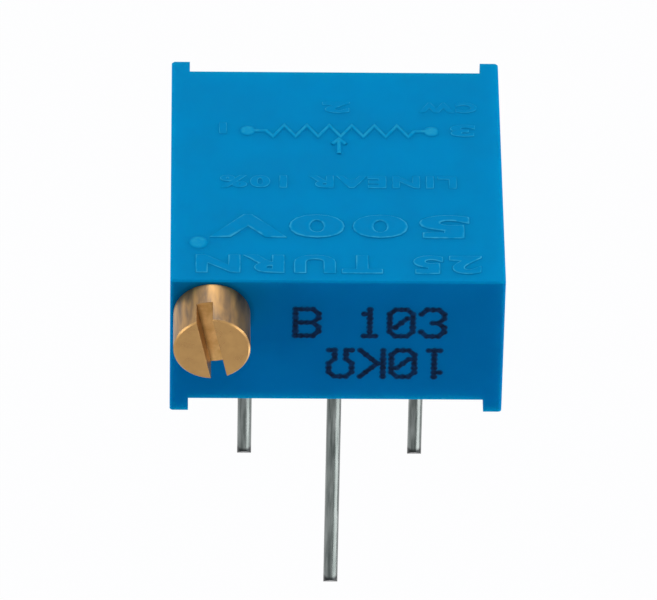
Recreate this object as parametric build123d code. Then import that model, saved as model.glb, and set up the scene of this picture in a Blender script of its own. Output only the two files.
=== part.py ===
from build123d import *
from math import atan2, cos, degrees, hypot, pi, radians, sin, sqrt, tan
import os

# A sealed square trimmer potentiometer, adjusted by a slotted screw that drives a worm.
# Lengths are in millimetres and angles in degrees.
# The origin is on the wiper pin's axis where the feet meet the board.
# +Z is up, +Y runs from the screw face to the back and +X is to the right facing the screw.

# housing, outside
body_width = 9.53
body_depth = 9.53
seat_to_top = 4.83
foot_height = 0.45
foot_width = 0.53
foot_depth = 0.90
nub_length = 0.50
nub_height = 0.90
edge_round = 0.10
top_edge_break = 0.05
front_to_wiper_pin = 2.00

# housing, inside
roof_thickness = 0.65
pocket_wall = 0.65
pocket_corner_round = 0.30
well_clearance = 0.10
post_diameter = 1.20
post_length = 1.05
post_clearance = 0.02
stop_clearance = 0.10
stop_below_teeth = 0.05
stop_spare_angle = 1.0
solder_room = 0.20
solder_room_height = 0.42

# adjustment screw
screw_from_side = 1.19
screw_from_top = 1.19
head_diameter = 2.19
head_end_from_face = 1.62
head_gap = 0.04
head_rim_bevel = 0.05
slot_width = 0.47
slot_depth = 0.80
slot_lean = 11.5
shank_diameter = 1.84
shank_length = 2.00
bore_clearance = 0.03
seal_groove_start = 0.60
seal_groove_width = 0.50
seal_groove_depth = 0.32
seal_width = 0.38
seal_bulge = 0.05
seal_bore_gap = 0.005
core_diameter = 1.00
core_end_gap = 0.10
tail_diameter = 0.70
tail_end_gap = 0.10
tail_clearance = 0.03
tail_bearing_length = 0.50
clip_from_bearing = 0.10
clip_thickness = 0.20
clip_diameter = 1.04
clip_groove_diameter = 0.44
clip_mouth = 0.38
clip_room = 0.02
clip_chamber_length = 0.70
back_to_clip_chamber = 1.08

# worm and rotor teeth
tooth_count = 33
turns_of_travel = 25
worm_turns = 4
worm_pitch_radius = 0.68
worm_addendum = 0.17
worm_root_sink = 0.03
rotor_addendum = 0.15
rotor_dedendum = 0.20
flank_angle = 20.0
worm_backlash = 0.04
rotor_backlash = 0.05

# rotor
rotor_off_centre = 0.305
thrust_ring_height = 0.05
thrust_ring_diameter = 2.20
carrier_height = 0.48
carrier_inset = 0.40
lug_inset = 0.05
lug_half_angle = 18.0
rotor_bore_floor_gap = 0.05
stake_spread_share = 0.35
stake_offset_share = 0.50
stake_diameter = 0.44
stake_clearance = 0.02
stake_rise = 0.10

# wiper
wiper_plate_thickness = 0.10
wiper_plate_inset = 0.10
brush_room = 0.785
brush_thickness = 0.08
brush_root = 0.18
brush_window_ahead = 0.40
brush_window_margin = 0.06
brush_toe = 0.22
brush_toe_rise = 0.12
brush_sole = 0.10
finger_width = 0.09
finger_pitch = 0.12
track_finger_count = 4
collector_finger_count = 3
contact_gap = 0.005

# substrate, films and seal
potting_recess = 0.05
potting_thickness = 0.60
substrate_thickness = 0.635
substrate_clearance = 0.05
substrate_corner_cut = 0.30
film_thickness = 0.03
track_inner_share = 0.60
track_outer_share = 0.81
lead_inner_share = 0.88
lead_outer_share = 0.98
collector_share = 0.29
track_half_angle = 140.0
track_end_angle = 10.0
lead_width = 0.40
pad_width = 1.04
pad_corner_cut = 0.28

# pins and solder
pin_diameter = 0.42
side_to_end_pins = 2.225
back_to_end_pins = 2.45
wiper_pin_drop = 8.33
end_pin_drop = 7.73
pin_tip_land = 0.06
pin_tip_slope = 50.0
pin_shank_side = 0.34
pin_hole_diameter = 0.52
pin_end_rise = 0.14
solder_width = 0.74
solder_top_width = 0.50
solder_height = 0.12

# planes and centres that follow from the sizes above
front_y = -front_to_wiper_pin
body_back_y = front_y + body_depth
back_y = body_back_y + nub_length
side_x = body_width / 2
roof_z = seat_to_top - roof_thickness
screw_x = screw_from_side - side_x
screw_z = seat_to_top - screw_from_top
rotor_x = rotor_off_centre
rotor_y = front_y + body_depth / 2
rotor_pitch_radius = rotor_x - screw_x - worm_pitch_radius
tip_radius = rotor_pitch_radius + rotor_addendum
tooth_root_radius = rotor_pitch_radius - rotor_dedendum
well_radius = tip_radius + well_clearance
carrier_radius = tooth_root_radius - carrier_inset
lug_radius = tooth_root_radius - lug_inset
plate_radius = carrier_radius - wiper_plate_inset
track_inner = carrier_radius * track_inner_share
track_outer = carrier_radius * track_outer_share
lead_inner = carrier_radius * lead_inner_share
lead_outer = carrier_radius * lead_outer_share
bore_radius = shank_diameter / 2 + bore_clearance
seal_groove_diameter = shank_diameter - 2 * seal_groove_depth
clip_chamber_end = body_depth - back_to_clip_chamber
tail_end = clip_chamber_end - tail_end_gap
tail_bearing_end = clip_chamber_end - clip_chamber_length
clip_start = tail_bearing_end + clip_from_bearing
channel_end = tail_bearing_end - tail_bearing_length
core_end = channel_end - core_end_gap
potting_bottom_z = foot_height + potting_recess
substrate_bottom_z = potting_bottom_z + potting_thickness
ledge_z = substrate_bottom_z + substrate_thickness
film_top_z = ledge_z + film_thickness
pin_end_z = film_top_z + pin_end_rise
plate_bottom_z = film_top_z + brush_room
carrier_bottom_z = plate_bottom_z + wiper_plate_thickness
tooth_bottom_z = carrier_bottom_z + carrier_height
rotor_top_z = roof_z - thrust_ring_height
end_pin_x = side_x - side_to_end_pins
end_pin_y = body_back_y - back_to_end_pins
worm_pitch = 2 * pi * rotor_pitch_radius / tooth_count
travel_half_angle = 360 * turns_of_travel / tooth_count / 2
pocket_x = side_x - pocket_wall
pocket_front = front_y + pocket_wall
pocket_back = body_back_y - pocket_wall
axis_tilt = 90.0

pins = {
    "terminal_pin_1_ccw": (-end_pin_x, end_pin_y, end_pin_drop),
    "terminal_pin_2_wiper": (0, 0, wiper_pin_drop),
    "terminal_pin_3_cw": (end_pin_x, end_pin_y, end_pin_drop),
}


def block(x0, x1, y0, y1, z0, z1):
    middle = Pos((x0 + x1) / 2, (y0 + y1) / 2, (z0 + z1) / 2)
    return middle * Box(x1 - x0, y1 - y0, z1 - z0)


def disc(diameter, z0, z1, x=0, y=0):
    return Pos(x, y, (z0 + z1) / 2) * Cylinder(diameter / 2, z1 - z0)


def turned(diameter, start, end):
    """A length of bar on the screw's axis, measured back from the front face."""
    middle = Pos(screw_x, front_y + (start + end) / 2, screw_z)
    return middle * Rot(X=axis_tilt) * Cylinder(diameter / 2, end - start)


def wedge(inner, outer, start, end, z0, z1):
    """A ring sector on the rotor's axis. Angles run clockwise from +Y, seen from above."""
    sweep_angle = end - start

    def at(radius, angle):
        return (radius * sin(radians(angle)), radius * cos(radians(angle)))

    halfway = start + sweep_angle / 2
    outline = [
        ThreePointArc(at(outer, start), at(outer, halfway), at(outer, end)),
        Line(at(outer, end), at(inner, end)),
        ThreePointArc(at(inner, end), at(inner, halfway), at(inner, start)),
        Line(at(inner, start), at(outer, start)),
    ]
    return Pos(rotor_x, rotor_y, z0) * extrude(make_face(outline), z1 - z0)


def strip(x0, y0, x1, y1, width, z0, z1):
    length = hypot(x1 - x0, y1 - y0)
    turn = degrees(atan2(y1 - y0, x1 - x0))
    place = Pos((x0 + x1) / 2, (y0 + y1) / 2, (z0 + z1) / 2) * Rot(Z=turn)
    return place * Box(length, width, z1 - z0)


def pin_shank(x, y):
    half = pin_shank_side / 2
    return block(x - half, x + half, y - half, y + half, potting_bottom_z, pin_end_z)


def pad(x, y):
    half = pad_width / 2
    square = block(x - half, x + half, y - half, y + half, ledge_z, film_top_z)
    return chamfer(square.edges().filter_by(Axis.Z), pad_corner_cut) - pin_shank(x, y)


def pocket_fill(z0, z1):
    fill = block(-pocket_x, pocket_x, pocket_front, pocket_back, z0, z1)
    return fillet(fill.edges().filter_by(Axis.Z), pocket_corner_round)


nodes = {}

# housing: a moulded box, open below, with feet under it and stand-off nubs behind
shell = block(-side_x, side_x, front_y, back_y, 0, seat_to_top)
shell = fillet(shell.edges().filter_by(Axis.Z), edge_round)
shell = chamfer(shell.faces().sort_by(Axis.Z)[-1].edges(), top_edge_break)
inside_x = side_x - foot_width
shell -= block(-inside_x, inside_x, front_y, back_y, 0, foot_height)
shell -= block(-side_x, side_x, front_y + foot_depth, body_back_y - foot_depth, 0, foot_height)
shell -= block(-side_x, side_x, body_back_y, back_y, 0, foot_height)
shell -= block(-inside_x, inside_x, body_back_y, back_y, foot_height, seat_to_top)
nub_gap_bottom = foot_height + nub_height
shell -= block(-side_x, side_x, body_back_y, back_y, nub_gap_bottom, seat_to_top - nub_height)
shell -= pocket_fill(foot_height, ledge_z)
shell -= disc(2 * well_radius, ledge_z, roof_z, rotor_x, rotor_y)
shell -= turned(2 * bore_radius, 0, channel_end)
shell -= turned(tail_diameter + 2 * tail_clearance, channel_end, tail_bearing_end)
clip_half = clip_diameter / 2 + clip_room
shell -= block(
    screw_x - clip_half,
    screw_x + clip_half,
    front_y + tail_bearing_end,
    front_y + clip_chamber_end,
    ledge_z,
    screw_z + clip_half,
)
shell += disc(post_diameter, roof_z - post_length, roof_z, rotor_x, rotor_y)
stop_half_angle = 180 - travel_half_angle - lug_half_angle - stop_spare_angle
stop_inner = carrier_radius + stop_clearance
stop_top = tooth_bottom_z - stop_below_teeth
shell += wedge(stop_inner, well_radius, -stop_half_angle, stop_half_angle, ledge_z, stop_top)
room = pad_width / 2 + solder_room
room_top = ledge_z + solder_room_height
for x, y, drop in pins.values():
    shell -= block(x - room, x + room, y - room, y + room, ledge_z, room_top)
nodes["housing"] = shell

# adjustment screw: slotted head, seal groove, left-hand worm and grooved tail
head = turned(head_diameter, -head_end_from_face, -head_gap)
head = chamfer(head.edges().group_by(Axis.Y)[0], head_rim_bevel)
screw = head + turned(shank_diameter, -head_gap, shank_length)
groove_end = seal_groove_start + seal_groove_width
screw -= turned(shank_diameter, seal_groove_start, groove_end) - turned(
    seal_groove_diameter, seal_groove_start, groove_end
)
screw += turned(core_diameter, shank_length, core_end)
screw += turned(tail_diameter, core_end, tail_end)
clip_end = clip_start + clip_thickness
screw -= turned(tail_diameter, clip_start, clip_end) - turned(
    clip_groove_diameter, clip_start, clip_end
)
root_radius = core_diameter / 2 - worm_root_sink
crest_radius = worm_pitch_radius + worm_addendum
thread_half = worm_pitch / 4 - worm_backlash / 2
root_half = thread_half + (worm_pitch_radius - root_radius) * tan(radians(flank_angle))
crest_half = thread_half - worm_addendum * tan(radians(flank_angle))
thread_section = Plane.XZ * make_face(
    Polyline(
        (root_radius, -root_half),
        (crest_radius, -crest_half),
        (crest_radius, crest_half),
        (root_radius, root_half),
        close=True,
    )
)
worm_length = worm_turns * worm_pitch
thread_path = Helix(worm_pitch, worm_length, worm_pitch_radius, lefthand=True)
thread = sweep(thread_section, path=thread_path, is_frenet=True)
mesh_side = 1 - 2 * (worm_turns % 2)
worm_start = Plane(
    origin=(screw_x, rotor_y - worm_length / 2, screw_z), x_dir=(mesh_side, 0, 0), z_dir=(0, 1, 0)
)
screw += worm_start.location * thread
slot_middle = Pos(screw_x, front_y - head_end_from_face + slot_depth / 2, screw_z)
screw -= slot_middle * Rot(Y=-slot_lean) * Box(slot_width, slot_depth, 2 * head_diameter)
nodes["adjustment_screw"] = screw

# shaft seal: a ring squeezed between the screw's groove and the bore, so its sides bulge
seal_inner = seal_groove_diameter / 2
seal_outer = bore_radius - seal_bore_gap
seal_middle_radius = (seal_inner + seal_outer) / 2
seal_half = seal_width / 2
seal_section = make_face(
    Polyline(
        (seal_inner, -seal_half),
        (seal_middle_radius, -seal_half - seal_bulge),
        (seal_outer, -seal_half),
        (seal_outer, seal_half),
        (seal_middle_radius, seal_half + seal_bulge),
        (seal_inner, seal_half),
        close=True,
    )
)
seal_middle = Pos(screw_x, front_y + (seal_groove_start + groove_end) / 2, screw_z)
nodes["shaft_seal"] = seal_middle * revolve(seal_section, Axis.Y)

# retaining clip: an open ring pushed up over the tail's groove
clip = turned(clip_diameter, clip_start, clip_end)
clip -= turned(clip_groove_diameter, clip_start, clip_end)
clip -= block(
    screw_x - clip_mouth / 2,
    screw_x + clip_mouth / 2,
    front_y + clip_start,
    front_y + clip_end,
    screw_z,
    screw_z + clip_diameter,
)
nodes["retaining_clip"] = clip

# rotor: toothed wheel on the roof's post, carrying the wiper below and a stop lug at its rim
rotor = disc(2 * tip_radius, tooth_bottom_z, rotor_top_z)
gap_half = worm_pitch / 4 + rotor_backlash / 2
gap_slope = tan(radians(flank_angle) + gap_half / rotor_pitch_radius)
gap_top = tip_radius + rotor_addendum
gap_top_half = gap_half + (gap_top - rotor_pitch_radius) * gap_slope
gap_floor_half = gap_half - rotor_dedendum * gap_slope
gap_section = make_face(
    Polyline(
        (-gap_top, -gap_top_half),
        (-tooth_root_radius, -gap_floor_half),
        (-tooth_root_radius, gap_floor_half),
        (-gap_top, gap_top_half),
        close=True,
    )
)
lead_slope = worm_pitch / (2 * pi * worm_pitch_radius)
tooth_gap = Pos(0, 0, screw_z) * extrude(
    gap_section, seat_to_top, dir=Vector(0, lead_slope, 1).normalized(), both=True
)
rotor -= [Rot(Z=360 * i / tooth_count) * tooth_gap for i in range(tooth_count)]
rotor = Pos(rotor_x, rotor_y, 0) * rotor
rotor += disc(thrust_ring_diameter, rotor_top_z, roof_z, rotor_x, rotor_y)
rotor += disc(2 * carrier_radius, carrier_bottom_z, tooth_bottom_z, rotor_x, rotor_y)
lug_start = 180 - lug_half_angle
lug_end = 180 + lug_half_angle
lug_inner = carrier_radius - stop_clearance
rotor += wedge(lug_inner, lug_radius, lug_start, lug_end, carrier_bottom_z, tooth_bottom_z)
rotor_bore = post_diameter + 2 * post_clearance
bore_floor_z = roof_z - post_length - rotor_bore_floor_gap
rotor -= disc(rotor_bore, bore_floor_z, roof_z, rotor_x, rotor_y)
stake_spread = carrier_radius * stake_spread_share
stake_offset = carrier_radius * stake_offset_share
stake_places = [(rotor_x + side * stake_spread, rotor_y - stake_offset) for side in (-1, 1)]
for x, y in stake_places:
    rotor += disc(stake_diameter, plate_bottom_z - stake_rise, carrier_bottom_z, x, y)
nodes["rotor_gear"] = rotor

# wiper: a sprung plate staked under the rotor, one comb on the track and one on the collector
plate_top = carrier_bottom_z
wiper = disc(2 * plate_radius, plate_bottom_z, plate_top)
track_middle = (track_inner + track_outer) / 2
comb_edge = track_middle + (track_finger_count * finger_pitch) / 2
brush_reach = sqrt(plate_radius**2 - comb_edge**2) - brush_root
toe_z = film_top_z + contact_gap
toe_top_z = toe_z + brush_toe_rise
sole_half = brush_sole / 2
finger_outline = Polyline(
    (-brush_reach, plate_bottom_z),
    (-sole_half, toe_z),
    (sole_half, toe_z),
    (brush_toe, toe_top_z),
    (brush_toe, toe_top_z + brush_thickness),
    (sole_half, toe_z + brush_thickness),
    (-sole_half, toe_z + brush_thickness),
    (-brush_reach + brush_thickness, plate_top),
    (-brush_reach, plate_top),
    close=True,
)
finger = Plane.XZ * extrude(make_face(finger_outline), finger_width / 2, both=True)
for count, centre_y, turn in ((track_finger_count, track_middle, 0), (collector_finger_count, 0, 180)):
    half_span = (count - 1) / 2 * finger_pitch
    window_half = half_span + finger_width / 2 + brush_window_margin
    window = block(
        -brush_reach, brush_window_ahead, -window_half, window_half, plate_bottom_z, plate_top
    )
    wiper -= Pos(0, centre_y, 0) * Rot(Z=turn) * window
    for i in range(count):
        offset = centre_y + i * finger_pitch - half_span
        wiper += Pos(0, offset, 0) * Rot(Z=turn) * finger
for side in (-1, 1):
    stake_hole = stake_diameter + 2 * stake_clearance
    wiper -= disc(stake_hole, plate_bottom_z, plate_top, side * stake_spread, -stake_offset)
nodes["wiper_contact"] = Pos(rotor_x, rotor_y, 0) * wiper

# substrate: the ceramic plate that closes the mechanism, seated up against the housing's ledge
plate_x = pocket_x - substrate_clearance
plate_front = pocket_front + substrate_clearance
plate_back = pocket_back - substrate_clearance
substrate = block(-plate_x, plate_x, plate_front, plate_back, substrate_bottom_z, ledge_z)
substrate = chamfer(substrate.edges().filter_by(Axis.Z), substrate_corner_cut)
for x, y, drop in pins.values():
    substrate -= disc(pin_hole_diameter, substrate_bottom_z, ledge_z, x, y)
nodes["substrate"] = substrate

# printed films: horseshoe track, its two terminations and the wiper's collector
nodes["resistive_track"] = wedge(
    track_inner, track_outer, -track_half_angle, track_half_angle, ledge_z, film_top_z
)
track_end = track_half_angle + track_end_angle
for node, pin, side in (
    ("ccw_termination_film", "terminal_pin_1_ccw", -1),
    ("cw_termination_film", "terminal_pin_3_cw", 1),
):
    x, y, drop = pins[pin]
    bearing = abs(degrees(atan2(x - rotor_x, y - rotor_y)))
    ends = sorted((side * track_half_angle, side * track_end))
    run = sorted((side * bearing, side * track_end))
    lead = wedge(track_inner, lead_outer, ends[0], ends[1], ledge_z, film_top_z)
    lead += wedge(lead_inner, lead_outer, run[0], run[1], ledge_z, film_top_z)
    lead_middle = (lead_inner + lead_outer) / 2
    near_x = rotor_x + side * lead_middle * sin(radians(bearing))
    near_y = rotor_y + lead_middle * cos(radians(bearing))
    lead += strip(near_x, near_y, x, y, lead_width, ledge_z, film_top_z)
    lead -= pin_shank(x, y)
    nodes[node] = lead + pad(x, y)
collector = disc(2 * carrier_radius * collector_share, ledge_z, film_top_z, rotor_x, rotor_y)
collector += strip(rotor_x, rotor_y, 0, 0, lead_width, ledge_z, film_top_z)
collector -= pin_shank(0, 0)
nodes["collector_film"] = collector + pad(0, 0)

# terminal pins: round wire, pinched off to an edge below,
# and coined square where it is potted and soldered to its pad
# potting: epoxy poured under the substrate, a little below the housing's rim
potting = pocket_fill(potting_bottom_z, substrate_bottom_z)
for number, (node, (x, y, drop)) in enumerate(pins.items(), start=1):
    wire = disc(pin_diameter, -drop, potting_bottom_z, x, y)
    for side, edge in ((-1, Align.MAX), (1, Align.MIN)):
        cut = Box(2 * pin_diameter, pin_diameter, pin_diameter, align=(Align.CENTER, edge, Align.MAX))
        wire -= Pos(x, y + side * pin_tip_land / 2, -drop) * Rot(X=side * pin_tip_slope) * cut
    nodes[node] = wire + pin_shank(x, y)
    foot = Pos(x, y, film_top_z) * Rectangle(solder_width, solder_width)
    crown = Pos(x, y, film_top_z + solder_height) * Rectangle(solder_top_width, solder_top_width)
    nodes[f"solder_joint_{number}"] = loft([foot, crown]) - pin_shank(x, y)
    potting -= pin_shank(x, y)
nodes["potting_seal"] = potting

os.makedirs("parts", exist_ok=True)
for node, shape in nodes.items():
    export_step(shape, f"parts/{node}.step")
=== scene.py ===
import math
import random

import bmesh
import bpy
from mathutils import Matrix, Vector


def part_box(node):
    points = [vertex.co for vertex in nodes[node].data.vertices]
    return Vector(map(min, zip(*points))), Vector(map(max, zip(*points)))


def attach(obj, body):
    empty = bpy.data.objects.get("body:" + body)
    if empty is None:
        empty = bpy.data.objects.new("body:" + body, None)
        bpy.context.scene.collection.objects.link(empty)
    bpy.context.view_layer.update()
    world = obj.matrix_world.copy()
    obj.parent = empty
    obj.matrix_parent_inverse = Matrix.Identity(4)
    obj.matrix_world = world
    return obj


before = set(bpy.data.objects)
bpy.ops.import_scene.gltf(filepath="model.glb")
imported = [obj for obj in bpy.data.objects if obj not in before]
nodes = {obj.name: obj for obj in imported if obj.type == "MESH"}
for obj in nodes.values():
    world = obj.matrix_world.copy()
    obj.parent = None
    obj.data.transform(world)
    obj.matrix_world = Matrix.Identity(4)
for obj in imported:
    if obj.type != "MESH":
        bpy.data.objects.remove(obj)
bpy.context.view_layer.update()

# A sealed square trimmer potentiometer on a pale floor.
# Lengths below are in millimetres in the part's own frame, and MM turns them into metres.
MM = 0.001

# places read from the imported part
housing_low, housing_high = (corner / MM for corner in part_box("housing"))
screw_low, screw_high = (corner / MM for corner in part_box("adjustment_screw"))
wiper_pin_low, wiper_pin_high = (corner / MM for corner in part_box("terminal_pin_2_wiper"))
potting_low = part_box("potting_seal")[0] / MM
top_z = housing_high.z
front_y = housing_low.y
screw_x = (screw_low.x + screw_high.x) / 2
screw_z = (screw_low.z + screw_high.z) / 2
head_radius = (screw_high.x - screw_low.x) / 2
pin_radius = (wiper_pin_high.x - wiper_pin_low.x) / 2
pin_nodes = ("terminal_pin_1_ccw", "terminal_pin_2_wiper", "terminal_pin_3_cw")

# camera, found from the body's corners in the photograph, with angles in degrees
image_width = 657
sensor_width = 36.0
focal_pixels = 8861.4
camera_azimuth = -1.269
camera_elevation = 39.948
camera_roll = 1.171
camera_distance = 257.958
camera_target = Vector((-0.16, 2.765, 0.155))
camera_near = 10.0
camera_far = 10000.0

# floor and surroundings: the floor's height, half width and colour in shade, how white both look,
# and the level of the light that comes from all round
floor_z = -60.0
floor_half = 400.0
floor_colour = (0.30, 0.36, 0.67, 1.0)
floor_white_share = 0.98
sky_white_share = 1.0
ambient_level = 0.15
white = (1.0, 1.0, 1.0, 1.0)

# soft boxes: place, point faced, width, height, and power in watts
soft_boxes = {
    "overhead_box": ((16.0, -5.0, 600.0), (0.0, 2.8, 2.4), 300.0, 300.0, 2.86),
    "back_box": ((0.0, 220.0, 200.0), (0.0, 2.8, 2.4), 80.0, 80.0, 0.12),
    "left_box": ((-190.0, -110.0, 45.0), (0.0, 0.0, 2.4), 100.0, 100.0, 0.072),
    "right_box": ((190.0, -110.0, 45.0), (0.0, 0.0, 2.4), 100.0, 100.0, 0.072),
    "low_right_box": ((43.0, -20.0, -44.0), (0.0, 2.0, -4.0), 50.0, 22.0, 0.0115),
    "left_side_box": ((-220.0, 3.0, 10.0), (0.0, 3.0, 2.0), 60.0, 60.0, 0.18),
    "right_side_box": ((220.0, 3.0, 10.0), (0.0, 3.0, 2.0), 60.0, 60.0, 0.18),
}

# raised moulding on the top face
mark_relief = 0.04
mark_sink = 0.03
stroke_width = 0.15
stroke_steps = 6
round_steps = 32
miter_limit = 1.6
symbol_y = 4.79
symbol_swing = 0.25
symbol_pitch = 0.652
symbol_first_dip = -1.82
symbol_dips = 7
symbol_lead_in = -2.02
symbol_lead_out = 2.26
terminal_dot_radius = 0.23
terminal_dot_x = (-2.557, 2.754)
wiper_arrow_x = 0.08
wiper_arrow_tail = 3.75
wiper_arrow_tip = 4.42
wiper_arrow_barb = (0.20, 0.24)
pip_centre = (-3.97, -0.30)
pip_radius = 0.28
# a pip's outline: shares of its radius and of the relief
pip_shares = ((1.0, 0.0), (0.87, 0.45), (0.66, 0.76), (0.4, 0.93), (0.15, 1.0))
# shares of the relief at which a flank's painted shade ends and a crest's painted highlight begins
crest_highlight_band = (0.30, 0.75)

# raised lettering: the words, the left, right, front and back edges of the box that they fill,
# and whether they are large
raised_words = {
    "terminal_1": ("1", (-3.38, -3.16, 4.66, 5.15), False),
    "terminal_2": ("2", (-0.39, 0.42, 5.63, 6.14), False),
    "terminal_3": ("3", (3.30, 4.03, 4.57, 5.12), False),
    "clockwise": ("CW", (2.40, 4.11, 5.67, 6.14), False),
    "taper_and_tolerance": ("LINEAR 10%", (-3.36, 3.45, 2.19, 2.75), False),
    "voltage": ("500V", (-3.67, 3.78, -0.07, 0.98), True),
    "turns": ("25 TURN", (-4.05, 4.10, -1.65, -0.83), True),
}
letter_spacing = 1.25
letter_shoulder_share = 0.08
letter_relief_share = 0.04
letter_curve_steps = 4
letter_shoulder_steps = 2

# printed ink on the front face: lines of words, the place of the first letter's top left dot
# as it reads, and 1 for upright or -1 for upside down
printed_lines = (("B 103", (-1.19, 3.80), 1), ("10KΩ", (3.12, 1.30), -1))
ink_pitch = 0.164
ink_advance = 0.895
ink_dot_radius = 0.106
ink_bridge_half = 0.086
ink_height = 0.006
ink_rim_share = 0.50
ink_foot_share = 0.1
ink_dot_steps = 14
# the seed and the spread of each dot's size and each drop's height, as shares
ink_seed = 7
ink_dot_spread = (0.94, 1.06)
ink_height_spread = (0.7, 1.2)
# shares of the height between which the ink goes from thin to thick
ink_thick_band = (0.2, 0.8)
dot_letters = {
    "B": ("####.", "#...#", "#...#", "####.", "#...#", "#...#", "####."),
    "K": ("#...#", "#..#.", "#.#..", "##...", "#.#..", "#..#.", "#...#"),
    "0": (".###.", "#...#", "#..##", "#.#.#", "##..#", "#...#", ".###."),
    "1": ("..#..", ".##..", "..#..", "..#..", "..#..", "..#..", ".###."),
    "3": (".###.", "#...#", "....#", "..##.", "....#", "#...#", ".###."),
    "Ω": (".###.", "#...#", "#...#", "#...#", ".#.#.", ".#.#.", "##.##"),
}

# epoxy fillets round the pins
collar_reach = 0.22
collar_steps = 6

# the radius that edges seem to have, and how matt the blue plastic is
edge_rounding = 0.02
housing_edge_rounding = 0.012
plastic_sheen = 0.006
# how far light travels in the housing, how wide the painted shade in its creases lies,
# and the size of the patches of painted sheen on the letters' shoulders
light_bleed = 1.5
crease_shade_reach = 0.18
sheen_patch = 0.25
# the screw: how far inside its rim the bar's skin begins and is whole, how deep the slot's finish
# begins and is whole, how wide the painted shade in the slot's corners lies, the size, stretch and place
# of the streaks, whose place also paints a highlight along the head's top and shade at its left,
# and the spacing of the lathe's cuts
bar_skin_inset = (0.02, 0.005)
slot_start_depth = (0.03, 0.06)
slot_shade_reach = 0.25
streak_size = 0.5
streak_stretch = (1.9, 0.40, 1.9)
streak_highlight_shift = (2.4, 0.0, 8.8)
lathe_mark_size = 0.05
# the pins: how drawing stretched their surface, and the heights above a pin's end
# at which the painted shade of its tip begins and is whole
wire_draw_stretch = (1.0, 1.0, 0.08)
tip_shade_heights = (0.36, 0.252)


def linear(hex_colour):
    """An sRGB hex colour as the linear colour that a shader takes."""
    channels = [int(hex_colour[i : i + 2], 16) / 255 for i in (1, 3, 5)]
    return (*((c / 12.92 if c <= 0.04045 else ((c + 0.055) / 1.055) ** 2.4) for c in channels), 1.0)


def add(tree, kind, inputs=None, **settings):
    """Adds a node, with its settings and with each input set to a value or linked to a socket."""
    node = tree.nodes.new(kind)
    for key, value in settings.items():
        setattr(node, key, value)
    for key, value in (inputs or {}).items():
        if isinstance(value, bpy.types.NodeSocket):
            tree.links.new(value, node.inputs[key])
        else:
            node.inputs[key].default_value = value
    return node


def finish(name, colours, mottle, rough, grain, rounding=edge_rounding, **surface):
    """A surface that varies between two colours and two roughnesses, with a fine grain.

    mottle is the size of its patches, grain the size and depth of its grain and rounding
    the radius that its edges seem to have. surface sets other sockets of the shader.
    """
    material = bpy.data.materials.new(name)
    material.use_nodes = True
    tree = material.node_tree
    tree.nodes.clear()
    place = add(tree, "ShaderNodeTexCoord").outputs["Object"]
    place = add(tree, "ShaderNodeVectorMath", {0: place, "Scale": 1 / MM}, operation="SCALE").outputs[0]
    patches = add(tree, "ShaderNodeTexNoise", {"Vector": place, "Scale": 1 / mottle, "Detail": 4.0})
    share = add(
        tree, "ShaderNodeMapRange", {"Value": patches.outputs["Fac"], "From Min": 0.35, "From Max": 0.65}
    ).outputs[0]
    dark, light = (linear(colour) for colour in colours)
    colour = add(tree, "ShaderNodeMix", {0: share, 6: dark, 7: light}, data_type="RGBA").outputs[2]
    roughness = add(
        tree, "ShaderNodeMapRange", {"Value": share, "To Min": rough[0], "To Max": rough[1]}
    ).outputs[0]
    grain_size, grain_depth = grain
    grains = add(tree, "ShaderNodeTexNoise", {"Vector": place, "Scale": 1 / grain_size, "Detail": 2.0})
    edge = add(tree, "ShaderNodeBevel", {"Radius": rounding * MM}, samples=6).outputs["Normal"]
    bump = add(
        tree,
        "ShaderNodeBump",
        {"Height": grains.outputs["Fac"], "Distance": grain_depth * MM, "Normal": edge},
    )
    shader = add(
        tree,
        "ShaderNodeBsdfPrincipled",
        {"Base Color": colour, "Roughness": roughness, "Normal": bump.outputs["Normal"], **surface},
    )
    add(tree, "ShaderNodeOutputMaterial", {"Surface": shader.outputs["BSDF"]})
    return {
        "material": material,
        "tree": tree,
        "place": place,
        "colour": colour,
        "roughness": roughness,
        "patches": patches,
        "grains": grains,
        "bump": bump,
        "shader": shader,
    }


def moulded_housing():
    # Glass-filled polyester from a spark-eroded tool: matt and even, with a faint cloudiness.
    # It lets a little light through, which lightens its thin edges and feet, and painted shade
    # in its creases, from an occlusion mask, draws a thin dark line round the raised marks.
    # Its real grain of about 0.01 mm is drawn at 0.05 mm so that it shows.
    made = finish(
        "moulded_blue_polyester",
        ("#007cb4", "#0080b9"),
        mottle=1.4,
        rough=(0.40, 0.48),
        grain=(0.05, 0.0012),
        rounding=housing_edge_rounding,
        **{
            "Specular IOR Level": plastic_sheen,
            "Subsurface Weight": 0.3,
            "Subsurface Radius": (0.3, 1.0, 0.7),
            "Subsurface Scale": light_bleed * MM,
        },
    )
    tree = made["tree"]
    # painted shade: darker where the surface is hemmed in, in the creases round the raised marks
    open_share = add(
        tree, "ShaderNodeAmbientOcclusion", {"Distance": crease_shade_reach * MM}, samples=8
    ).outputs["AO"]
    unshaded_share = add(
        tree, "ShaderNodeMapRange", {"Value": open_share, "From Min": 0.78, "From Max": 0.98}
    ).outputs[0]
    colour = add(
        tree, "ShaderNodeMix", {0: unshaded_share, 6: linear("#0071a5"), 7: made["colour"]}, data_type="RGBA"
    ).outputs[2]
    tree.links.new(colour, made["shader"].inputs["Base Color"])
    return made["material"]


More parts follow.
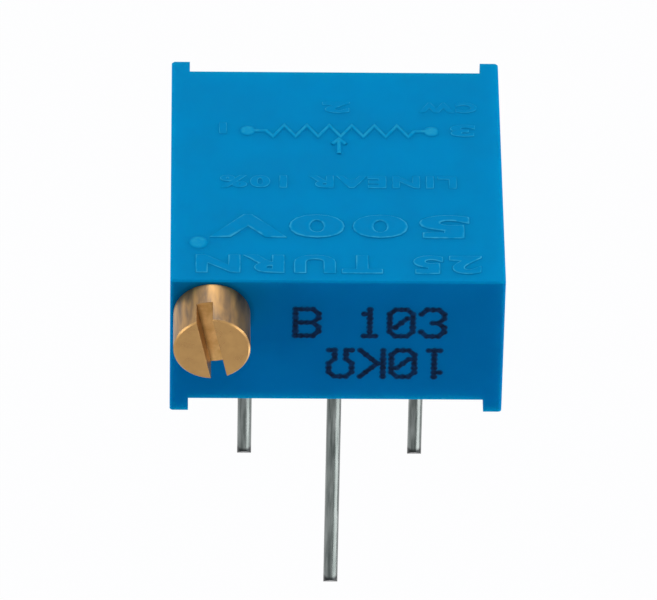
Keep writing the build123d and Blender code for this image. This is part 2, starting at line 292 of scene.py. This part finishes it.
def moulded_letters(name, shoulder):
    # The same polyester where it filled engraving in the tool: level tops like the housing,
    # shoulders painted paler in patches as a highlight and steep sides painted darker as shade,
    # so that a letter shows as its outline.
    made = finish(
        name,
        ("#007cb4", "#007fb8"),
        mottle=0.30,
        rough=(0.32, 0.40),
        grain=(0.05, 0.0010),
        **{"Specular IOR Level": plastic_sheen},
    )
    tree = made["tree"]
    # painted highlight and shade: shoulders turning from level are painted paler, in patches, and steep
    # sides darker; shoulder is the painted highlight's colour
    facing = add(tree, "ShaderNodeNewGeometry").outputs["Normal"]
    upward = add(tree, "ShaderNodeSeparateXYZ", {0: facing}).outputs["Z"]
    level = add(
        tree, "ShaderNodeMapRange", {"Value": upward, "From Min": 0.88, "From Max": 0.99}
    ).outputs[0]
    steep_shade = add(
        tree, "ShaderNodeMapRange", {"Value": upward, "From Min": 0.75, "From Max": 0.45}
    ).outputs[0]
    patch = add(
        tree, "ShaderNodeTexNoise", {"Vector": made["place"], "Scale": 1 / sheen_patch}
    ).outputs["Fac"]
    patch = add(
        tree, "ShaderNodeMapRange", {"Value": patch, "From Min": 0.35, "From Max": 0.60}
    ).outputs[0]
    painted_sheen = add(
        tree, "ShaderNodeMix", {0: patch, 6: linear("#0586bd"), 7: linear(shoulder)}, data_type="RGBA"
    ).outputs[2]
    colour = add(
        tree, "ShaderNodeMix", {0: level, 6: painted_sheen, 7: made["colour"]}, data_type="RGBA"
    ).outputs[2]
    colour = add(
        tree, "ShaderNodeMix", {0: steep_shade, 6: colour, 7: linear("#0077ad")}, data_type="RGBA"
    ).outputs[2]
    tree.links.new(colour, made["shader"].inputs["Base Color"])
    return made["material"]


def crest_highlight_finish():
    # The same polyester on the round-topped lines and pips: a painted highlight along the crest
    # and painted shade down the flanks.
    made = finish(
        "blue_crests_painted_highlight",
        ("#0488be", "#1d92bf"),
        mottle=0.16,
        rough=(0.32, 0.40),
        grain=(0.05, 0.0010),
        **{"Specular IOR Level": plastic_sheen},
    )
    tree = made["tree"]
    # painted highlight on the crest and painted shade on the flanks, by height on the ridge
    height = add(tree, "ShaderNodeSeparateXYZ", {0: made["place"]}).outputs["Z"]
    flank_top, crest_foot = (top_z + share * mark_relief for share in crest_highlight_band)
    painted_crest = add(
        tree, "ShaderNodeMapRange", {"Value": height, "From Min": flank_top, "From Max": crest_foot}
    ).outputs[0]
    colour = add(
        tree, "ShaderNodeMix", {0: painted_crest, 6: linear("#007ab1"), 7: made["colour"]}, data_type="RGBA"
    ).outputs[2]
    tree.links.new(colour, made["shader"].inputs["Base Color"])
    return made["material"]


def turned_brass():
    # Free-cutting brass: the end is freshly cut and clean, the slot is rough from its saw
    # with painted shade in its corners, and the side keeps the dull, streaked skin of the drawn bar.
    made = finish(
        "turned_brass",
        ("#a58051", "#b08a57"),
        mottle=0.40,
        rough=(0.26, 0.36),
        grain=(0.04, 0.0003),
        Metallic=1.0,
    )
    tree = made["tree"]
    end_centre = (screw_x, screw_low.y, screw_z)
    offset = add(
        tree, "ShaderNodeVectorMath", {0: made["place"], 1: end_centre}, operation="SUBTRACT"
    ).outputs[0]
    across = add(
        tree, "ShaderNodeVectorMath", {0: offset, 1: (1.0, 0.0, 1.0)}, operation="MULTIPLY"
    ).outputs[0]
    radius = add(tree, "ShaderNodeVectorMath", {0: across}, operation="LENGTH").outputs["Value"]
    depth = add(tree, "ShaderNodeSeparateXYZ", {0: offset}).outputs["Y"]
    skin_from, skin_to = (head_radius - inset for inset in bar_skin_inset)
    on_side = add(
        tree, "ShaderNodeMapRange", {"Value": radius, "From Min": skin_from, "From Max": skin_to}
    ).outputs[0]
    slot_from, slot_to = slot_start_depth
    in_slot = add(
        tree, "ShaderNodeMapRange", {"Value": depth, "From Min": slot_from, "From Max": slot_to}
    ).outputs[0]
    # bar-skin streaks, placed so that a light streak lies along the head's top and darker ones at its
    # left: a painted highlight and painted shade as well
    streak = add(
        tree,
        "ShaderNodeVectorMath",
        {0: made["place"], 1: streak_stretch, 2: streak_highlight_shift},
        operation="MULTIPLY_ADD",
    ).outputs[0]
    worn = add(
        tree,
        "ShaderNodeTexNoise",
        {"Vector": streak, "Scale": 1 / streak_size, "Detail": 4.0, "Distortion": 0.3},
    ).outputs["Fac"]
    worn = add(tree, "ShaderNodeMapRange", {"Value": worn, "From Min": 0.3, "From Max": 0.7}).outputs[0]
    skin = add(
        tree, "ShaderNodeMix", {0: worn, 6: linear("#64564a"), 7: linear("#b38c59")}, data_type="RGBA"
    ).outputs[2]
    sawn = add(
        tree, "ShaderNodeMix", {0: worn, 6: linear("#b1884f"), 7: linear("#d2a86f")}, data_type="RGBA"
    ).outputs[2]
    # painted shade: the slot's corners darkened where they are hemmed in
    open_share = add(
        tree, "ShaderNodeAmbientOcclusion", {"Distance": slot_shade_reach * MM}, samples=8
    ).outputs["AO"]
    unshaded_share = add(
        tree, "ShaderNodeMapRange", {"Value": open_share, "From Min": 0.45, "From Max": 0.75}
    ).outputs[0]
    sawn = add(
        tree, "ShaderNodeMix", {0: unshaded_share, 6: linear("#7c5c34"), 7: sawn}, data_type="RGBA"
    ).outputs[2]
    colour = made["colour"]
    roughness = made["roughness"]
    for share, tone, rough in ((in_slot, sawn, 0.42), (on_side, skin, 0.42)):
        colour = add(tree, "ShaderNodeMix", {0: share, 6: colour, 7: tone}, data_type="RGBA").outputs[2]
        roughness = add(tree, "ShaderNodeMix", {0: share, 2: roughness, 3: rough}).outputs[0]
    tree.links.new(colour, made["shader"].inputs["Base Color"])
    tree.links.new(roughness, made["shader"].inputs["Roughness"])
    tool_path = add(tree, "ShaderNodeMath", {0: radius, 1: depth}, operation="SUBTRACT").outputs[0]
    cuts = add(
        tree,
        "ShaderNodeTexNoise",
        {"W": tool_path, "Scale": 1 / lathe_mark_size, "Detail": 2.0},
        noise_dimensions="1D",
    ).outputs["Fac"]
    grains = made["grains"].outputs["Fac"]
    height = add(tree, "ShaderNodeMath", {0: cuts, 1: grains}, operation="ADD").outputs[0]
    tree.links.new(height, made["bump"].inputs["Height"])
    return made["material"]


def tinned_wire(name):
    # Copper wire dipped in tin: dull grey, with brighter runs drawn along its length,
    # and its sheared tip painted dark as shade.
    made = finish(
        f"tinned_{name}",
        ("#4e5553", "#7f8583"),
        mottle=0.10,
        rough=(0.22, 0.36),
        grain=(0.05, 0.0014),
        Metallic=1.0,
    )
    tree = made["tree"]
    drawn = add(
        tree, "ShaderNodeVectorMath", {0: made["place"], 1: wire_draw_stretch}, operation="MULTIPLY"
    ).outputs[0]
    for noise in (made["patches"], made["grains"]):
        tree.links.new(drawn, noise.inputs["Vector"])
    # painted shade: darker towards the pin's tip
    tip_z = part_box(name)[0].z / MM
    shade_from, shade_to = (tip_z + rise for rise in tip_shade_heights)
    height = add(tree, "ShaderNodeSeparateXYZ", {0: made["place"]}).outputs["Z"]
    tip_shade = add(
        tree, "ShaderNodeMapRange", {"Value": height, "From Min": shade_from, "From Max": shade_to}
    ).outputs[0]
    colour = add(
        tree, "ShaderNodeMix", {0: tip_shade, 6: made["colour"], 7: linear("#2a2d2e")}, data_type="RGBA"
    ).outputs[2]
    tree.links.new(colour, made["shader"].inputs["Base Color"])
    return made["material"]


def poured_epoxy():
    # Epoxy poured level and cured: darker than the housing, glossier and gently uneven.
    made = finish(
        "poured_epoxy",
        ("#1a4d74", "#205a84"),
        mottle=0.9,
        rough=(0.22, 0.32),
        grain=(0.55, 0.012),
        **{"Specular IOR Level": 0.35},
    )
    return made["material"]


def marking_ink():
    # Jetted solvent ink: near black where it lies thick, and blue where its thin rim
    # lets the housing through.
    made = finish(
        "marking_ink",
        ("#0a1c33", "#103457"),
        mottle=0.12,
        rough=(0.45, 0.62),
        grain=(0.04, 0.0008),
        **{"Specular IOR Level": 0.04},
    )
    tree = made["tree"]
    depth = add(tree, "ShaderNodeSeparateXYZ", {0: made["place"]}).outputs["Y"]
    thin_y, thick_y = (front_y - share * ink_height for share in ink_thick_band)
    thick = add(
        tree, "ShaderNodeMapRange", {"Value": depth, "From Min": thin_y, "From Max": thick_y}
    ).outputs[0]
    colour = add(
        tree, "ShaderNodeMix", {0: thick, 6: linear("#005a8a"), 7: made["colour"]}, data_type="RGBA"
    ).outputs[2]
    tree.links.new(colour, made["shader"].inputs["Base Color"])
    return made["material"]


def sealed_finishes():
    """The finishes of the pieces sealed inside, by the record's slot."""
    # alumina: fired white ceramic, faintly grainy
    alumina = finish("fired_alumina", ("#e2dfd6", "#f0eee8"), 0.20, (0.55, 0.65), (0.03, 0.002))
    # cermet: a fired metal and glass film, near black and finely rough
    cermet = finish("fired_cermet", ("#242424", "#34322f"), 0.08, (0.45, 0.60), (0.03, 0.002))
    # silver alloy film: pale metal, dulled by firing
    silver = finish(
        "fired_silver", ("#b8b3a8", "#d2cdc2"), 0.10, (0.35, 0.50), (0.03, 0.002), Metallic=1.0
    )
    # tin solder: bright where it flowed, frosted where it froze
    solder = finish(
        "tin_solder", ("#a9adad", "#cfd2d1"), 0.15, (0.18, 0.35), (0.08, 0.003), Metallic=1.0
    )
    # rubber: black and matt from its mould
    rubber = finish("moulded_rubber", ("#151515", "#202020"), 0.15, (0.70, 0.85), (0.04, 0.002))
    # spring steel: grey strip, streaked by rolling
    steel = finish(
        "rolled_spring_steel", ("#7b7d82", "#94969a"), 0.10, (0.25, 0.38), (0.03, 0.001), Metallic=1.0
    )
    # nylon: natural ivory, waxy and faintly cloudy
    nylon = finish("natural_nylon", ("#ded6c0", "#ebe4d2"), 0.60, (0.42, 0.52), (0.05, 0.002))
    # contact alloy: pale gold strip, stamped bright
    alloy = finish(
        "contact_alloy", ("#bfa878", "#d4bf90"), 0.10, (0.20, 0.32), (0.03, 0.001), Metallic=1.0
    )
    made = {
        "alumina": alumina,
        "cermet_film": cermet,
        "silver_film": silver,
        "solder": solder,
        "seal_rubber": rubber,
        "spring_steel": steel,
        "rotor_plastic": nylon,
        "contact_spring": alloy,
    }
    return {slot: parts["material"] for slot, parts in made.items()}


finishes = {
    "housing_plastic": moulded_housing(),
    "turned_brass": turned_brass(),
    **{name: tinned_wire(name) for name in pin_nodes},
    "potting_epoxy": poured_epoxy(),
    **sealed_finishes(),
}
node_finishes = {
    "housing": "housing_plastic",
    "adjustment_screw": "turned_brass",
    "shaft_seal": "seal_rubber",
    "retaining_clip": "spring_steel",
    "rotor_gear": "rotor_plastic",
    "wiper_contact": "contact_spring",
    "substrate": "alumina",
    "resistive_track": "cermet_film",
    "ccw_termination_film": "silver_film",
    "cw_termination_film": "silver_film",
    "collector_film": "silver_film",
    "potting_seal": "potting_epoxy",
    **{name: name for name in pin_nodes},
    **{f"solder_joint_{number}": "solder" for number in (1, 2, 3)},
}
for name, key in node_finishes.items():
    nodes[name].data.materials.clear()
    nodes[name].data.materials.append(finishes[key])


def make_piece(name, mesh, material):
    """A new piece on the base, from a mesh in the part's frame in millimetres."""
    mesh.transform(Matrix.Scale(MM, 4))
    mesh.materials.clear()
    mesh.materials.append(material)
    piece = bpy.data.objects.new(name, mesh)
    bpy.context.scene.collection.objects.link(piece)
    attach(piece, "base")


def mesh_from(shape, name):
    """The mesh of a finished shape, with its faces turned outward."""
    mesh = bpy.data.meshes.new(name)
    bmesh.ops.recalc_face_normals(shape, faces=shape.faces)
    shape.to_mesh(mesh)
    shape.free()
    return mesh


def ridge(shape, path):
    """A low rounded ridge on the top face, along a path of x and y."""
    points = [Vector(point) for point in path]
    sections = []
    for i, point in enumerate(points):
        near = points[max(i - 1, 0) : i + 2]
        ways = [(b - a).normalized() for a, b in zip(near, near[1:])]
        way = sum(ways, Vector((0, 0))).normalized()
        side = Vector((-way.y, way.x))
        stretch = 1 / max(way.dot(ways[0]), 1 / miter_limit)
        section = []
        for step in range(stroke_steps + 1):
            across = 2 * step / stroke_steps - 1
            rise = mark_relief * math.cos(across * math.pi / 2)
            foot = point + side * across * stretch * stroke_width / 2
            section.append(shape.verts.new((*foot, top_z + rise)))
        for across in (1, -1):
            foot = point + side * across * stretch * stroke_width / 2
            section.append(shape.verts.new((*foot, top_z - mark_sink)))
        sections.append(section)
    size = len(sections[0])
    for one, two in zip(sections, sections[1:]):
        for i in range(size):
            shape.faces.new((one[i], one[(i + 1) % size], two[(i + 1) % size], two[i]))
    shape.faces.new(sections[0])
    shape.faces.new(sections[-1])


def spun(shape, x, y, profile):
    """Rings of points about an upright axis, joined in order, from pairs of radius and height."""
    turns = [2 * math.pi * i / round_steps for i in range(round_steps)]
    rings = [
        [shape.verts.new((x + radius * math.cos(t), y + radius * math.sin(t), z)) for t in turns]
        for radius, z in profile
    ]
    for low, high in zip(rings, rings[1:]):
        for i in range(round_steps):
            shape.faces.new((low[i], low[i - 1], high[i - 1], high[i]))
    return rings


def dome(shape, x, y, radius):
    """A low round pip on the top face."""
    profile = [(radius * share, top_z + mark_relief * height) for share, height in pip_shares]
    rings = spun(shape, x, y, [(radius, top_z - mark_sink), *profile])
    shape.faces.new(rings[0])
    shape.faces.new(rings[-1])


def moulded_symbol():
    """The schematic sign of a potentiometer: a zigzag between two terminals, and the wiper's arrow."""
    shape = bmesh.new()
    path = [(terminal_dot_x[0], symbol_y), (symbol_lead_in, symbol_y)]
    for dip in range(symbol_dips):
        x = symbol_first_dip + dip * symbol_pitch
        path.append((x, symbol_y - symbol_swing))
        if dip < symbol_dips - 1:
            path.append((x + symbol_pitch / 2, symbol_y + symbol_swing))
    ridge(shape, [*path, (symbol_lead_out, symbol_y), (terminal_dot_x[1], symbol_y)])
    for x in terminal_dot_x:
        dome(shape, x, symbol_y, terminal_dot_radius)
    barb_x, barb_y = wiper_arrow_barb
    tip = (wiper_arrow_x, wiper_arrow_tip)
    left_barb = (wiper_arrow_x - barb_x, wiper_arrow_tip - barb_y)
    right_barb = (wiper_arrow_x + barb_x, wiper_arrow_tip - barb_y)
    ridge(shape, [(wiper_arrow_x, wiper_arrow_tail), tip])
    ridge(shape, [left_barb, tip, right_barb])
    return mesh_from(shape, "moulded_symbol")


def moulded_pip():
    """The pip near the front left of the top face."""
    shape = bmesh.new()
    dome(shape, *pip_centre, pip_radius)
    return mesh_from(shape, "moulded_pip")


def raised_word(name, words, box):
    """Raised lettering that fills a box on the top face and reads from the back."""
    left, right, front, back = box
    tall = back - front
    text = bpy.data.curves.new(name, "FONT")
    text.body = words
    text.space_character = letter_spacing
    text.resolution_u = letter_curve_steps
    carrier = bpy.data.objects.new(name, text)
    bpy.context.scene.collection.objects.link(carrier)
    bpy.context.view_layer.update()
    text.size = tall / carrier.dimensions.y
    shoulder = tall * letter_shoulder_share
    text.bevel_depth = shoulder
    text.bevel_resolution = letter_shoulder_steps
    text.extrude = shoulder
    bpy.context.view_layer.update()
    mesh = bpy.data.meshes.new_from_object(carrier.evaluated_get(bpy.context.evaluated_depsgraph_get()))
    bpy.data.objects.remove(carrier)
    lows = [min(v.co[i] for v in mesh.vertices) for i in range(3)]
    highs = [max(v.co[i] for v in mesh.vertices) for i in range(3)]
    middle = Vector((lows[i] + highs[i]) / 2 for i in range(3))
    mesh.transform(Matrix.Translation(-middle))
    wide, deep, thick = (highs[i] - lows[i] for i in range(3))
    relief = tall * letter_relief_share
    flatten = relief / shoulder
    mesh.transform(Matrix.Diagonal(((right - left) / wide, tall / deep, flatten, 1)))
    mesh.transform(Matrix.Rotation(math.pi, 4, "Z"))
    centre_z = top_z + relief - flatten * thick / 2
    mesh.transform(Matrix.Translation(((left + right) / 2, (front + back) / 2, centre_z)))
    return mesh


def ink_film(shape, outline):
    """A flat drop of ink on the front face, with a sloping rim."""
    middle = sum((Vector(point) for point in outline), Vector((0, 0))) / len(outline)
    height = ink_height * jitter.uniform(*ink_height_spread)
    rings = []
    for share, rise in ((1.0, -ink_height), (1.0, ink_foot_share * height), (ink_rim_share, height)):
        spots = [middle + (Vector(point) - middle) * share for point in outline]
        rings.append([shape.verts.new((spot.x, front_y - rise, spot.y)) for spot in spots])
    count = len(outline)
    for low, high in zip(rings, rings[1:]):
        for i in range(count):
            shape.faces.new((low[i], low[(i + 1) % count], high[(i + 1) % count], high[i]))
    shape.faces.new(rings[0])
    shape.faces.new(rings[-1])


def printed_letter(shape, marks, corner, flip):
    """A letter of jetted dots, which run together where they are neighbours."""
    lit = {(c, r) for r, row in enumerate(marks) for c, mark in enumerate(row) if mark == "#"}

    def spot(column, row):
        return corner + flip * Vector((column, -row)) * ink_pitch

    for column, row in sorted(lit):
        here = spot(column, row)
        radius = ink_dot_radius * jitter.uniform(*ink_dot_spread)
        turns = [2 * math.pi * i / ink_dot_steps for i in range(ink_dot_steps)]
        ink_film(shape, [here + Vector((math.cos(t), math.sin(t))) * radius for t in turns])
        for across, down in ((1, 0), (0, 1), (1, 1), (-1, 1)):
            slanted = across != 0 and down != 0
            cut_corner = (column + across, row) in lit or (column, row + down) in lit
            if (column + across, row + down) not in lit or (slanted and cut_corner):
                continue
            there = spot(column + across, row + down)
            side = (there - here).orthogonal().normalized() * ink_bridge_half
            ink_film(shape, [here + side, there + side, there - side, here - side])


def printed_marking():
    """All the print on the front face."""
    shape = bmesh.new()
    for words, corner, flip in printed_lines:
        for place, letter in enumerate(words):
            if letter != " ":
                start = Vector(corner) + flip * Vector((place * ink_advance, 0))
                printed_letter(shape, dot_letters[letter], start, flip)
    return mesh_from(shape, "printed_marking")


def epoxy_collar(x, y):
    """The fillet that poured epoxy leaves round a pin."""
    shape = bmesh.new()
    surface = potting_low.z
    profile = [(pin_radius, surface)]
    for step in range(collar_steps + 1):
        turn = math.pi / 2 * step / collar_steps
        reach = collar_reach * (1 - math.sin(turn))
        drop = collar_reach * (1 - math.cos(turn))
        profile.append((pin_radius + reach, surface - drop))
    rings = spun(shape, x, y, profile)
    for i in range(round_steps):
        shape.faces.new((rings[-1][i], rings[-1][i - 1], rings[0][i - 1], rings[0][i]))
    return mesh_from(shape, "epoxy_collar")


jitter = random.Random(ink_seed)
crest_highlights = crest_highlight_finish()
large_letters = moulded_letters("large_blue_letters", "#309fcb")
small_letters = moulded_letters("small_blue_letters", "#289bca")
make_piece("moulded_symbol", moulded_symbol(), crest_highlights)
make_piece("moulded_pip", moulded_pip(), crest_highlights)
for name, (words, box, large) in raised_words.items():
    letters = raised_word(name, words, box)
    make_piece(f"moulded_{name}", letters, large_letters if large else small_letters)
make_piece("printed_marking", printed_marking(), marking_ink())
for name in pin_nodes:
    low, high = (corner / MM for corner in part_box(name))
    collar = epoxy_collar((low.x + high.x) / 2, (low.y + high.y) / 2)
    make_piece(f"epoxy_collar_{name}", collar, finishes["potting_epoxy"])


def seen_share(tree, strength):
    """How far a surface shows plain white: where it is seen directly, in a shine or through glass."""
    rays = add(tree, "ShaderNodeLightPath").outputs
    seen = rays["Is Camera Ray"]
    for kind in ("Is Glossy Ray", "Is Transmission Ray"):
        seen = add(tree, "ShaderNodeMath", {0: seen, 1: rays[kind]}, operation="MAXIMUM").outputs[0]
    return add(tree, "ShaderNodeMath", {0: seen, 1: strength}, operation="MULTIPLY").outputs[0]


def pale_floor():
    # A matt floor that shows near white, keeps a trace of the object's shadow
    # and can be looked through from below.
    corners = [(-1, -1), (1, -1), (1, 1), (-1, 1)]
    mesh = bpy.data.meshes.new("floor")
    mesh.from_pydata(
        [(x * floor_half * MM, y * floor_half * MM, floor_z * MM) for x, y in corners], [], [(0, 1, 2, 3)]
    )
    floor = bpy.data.objects.new("floor", mesh)
    bpy.context.scene.collection.objects.link(floor)
    material = bpy.data.materials.new("pale_floor")
    material.use_nodes = True
    tree = material.node_tree
    tree.nodes.clear()
    matt = add(tree, "ShaderNodeBsdfDiffuse", {"Color": floor_colour}).outputs[0]
    glow = add(tree, "ShaderNodeEmission", {"Color": white}).outputs[0]
    share = seen_share(tree, floor_white_share)
    shown = add(tree, "ShaderNodeMixShader", {0: share, 1: matt, 2: glow}).outputs[0]
    below = add(tree, "ShaderNodeNewGeometry").outputs["Backfacing"]
    clear = add(tree, "ShaderNodeBsdfTransparent").outputs[0]
    one_sided = add(tree, "ShaderNodeMixShader", {0: below, 1: shown, 2: clear}).outputs[0]
    add(tree, "ShaderNodeOutputMaterial", {"Surface": one_sided})
    mesh.materials.append(material)


def white_surroundings():
    # White all round where it is seen, and a low, even light elsewhere.
    world = bpy.data.worlds.new("studio")
    bpy.context.scene.world = world
    world.use_nodes = True
    tree = world.node_tree
    tree.nodes.clear()
    share = seen_share(tree, sky_white_share)
    level = add(
        tree, "ShaderNodeMapRange", {"Value": share, "To Min": ambient_level, "To Max": 1.0}
    ).outputs[0]
    sky = add(tree, "ShaderNodeBackground", {"Color": white, "Strength": level}).outputs[0]
    add(tree, "ShaderNodeOutputWorld", {"Surface": sky})


def soft_box(name, place, aim, width, height, power):
    """A rectangular lamp at a place, facing another."""
    light = bpy.data.lights.new(name, "AREA")
    light.shape = "RECTANGLE"
    light.size = width * MM
    light.size_y = height * MM
    light.energy = power
    holder = bpy.data.objects.new(name, light)
    bpy.context.scene.collection.objects.link(holder)
    holder.location = Vector(place) * MM
    holder.rotation_mode = "QUATERNION"
    holder.rotation_quaternion = (Vector(place) - Vector(aim)).to_track_quat("Z", "Y")
    holder.visible_camera = False


def photo_camera():
    """The camera at the photograph's place, turned about its own axis by the roll."""
    turn, lift, roll = (math.radians(a) for a in (camera_azimuth, camera_elevation, camera_roll))
    back = Vector((math.sin(turn) * math.cos(lift), -math.cos(turn) * math.cos(lift), math.sin(lift)))
    level_right = Vector((math.cos(turn), math.sin(turn), 0))
    level_up = back.cross(level_right)
    right = math.cos(roll) * level_right + math.sin(roll) * level_up
    up = math.cos(roll) * level_up - math.sin(roll) * level_right
    data = bpy.data.cameras.new("camera")
    data.sensor_width = sensor_width
    data.lens = focal_pixels * sensor_width / image_width
    data.clip_start = camera_near * MM
    data.clip_end = camera_far * MM
    holder = bpy.data.objects.new("camera", data)
    bpy.context.scene.collection.objects.link(holder)
    holder.matrix_world = Matrix((right, up, back)).transposed().to_4x4()
    holder.location = (camera_target + back * camera_distance) * MM
    bpy.context.scene.camera = holder


pale_floor()
white_surroundings()
for name, values in soft_boxes.items():
    soft_box(name, *values)
photo_camera()
bpy.context.scene.view_settings.view_transform = "Standard"
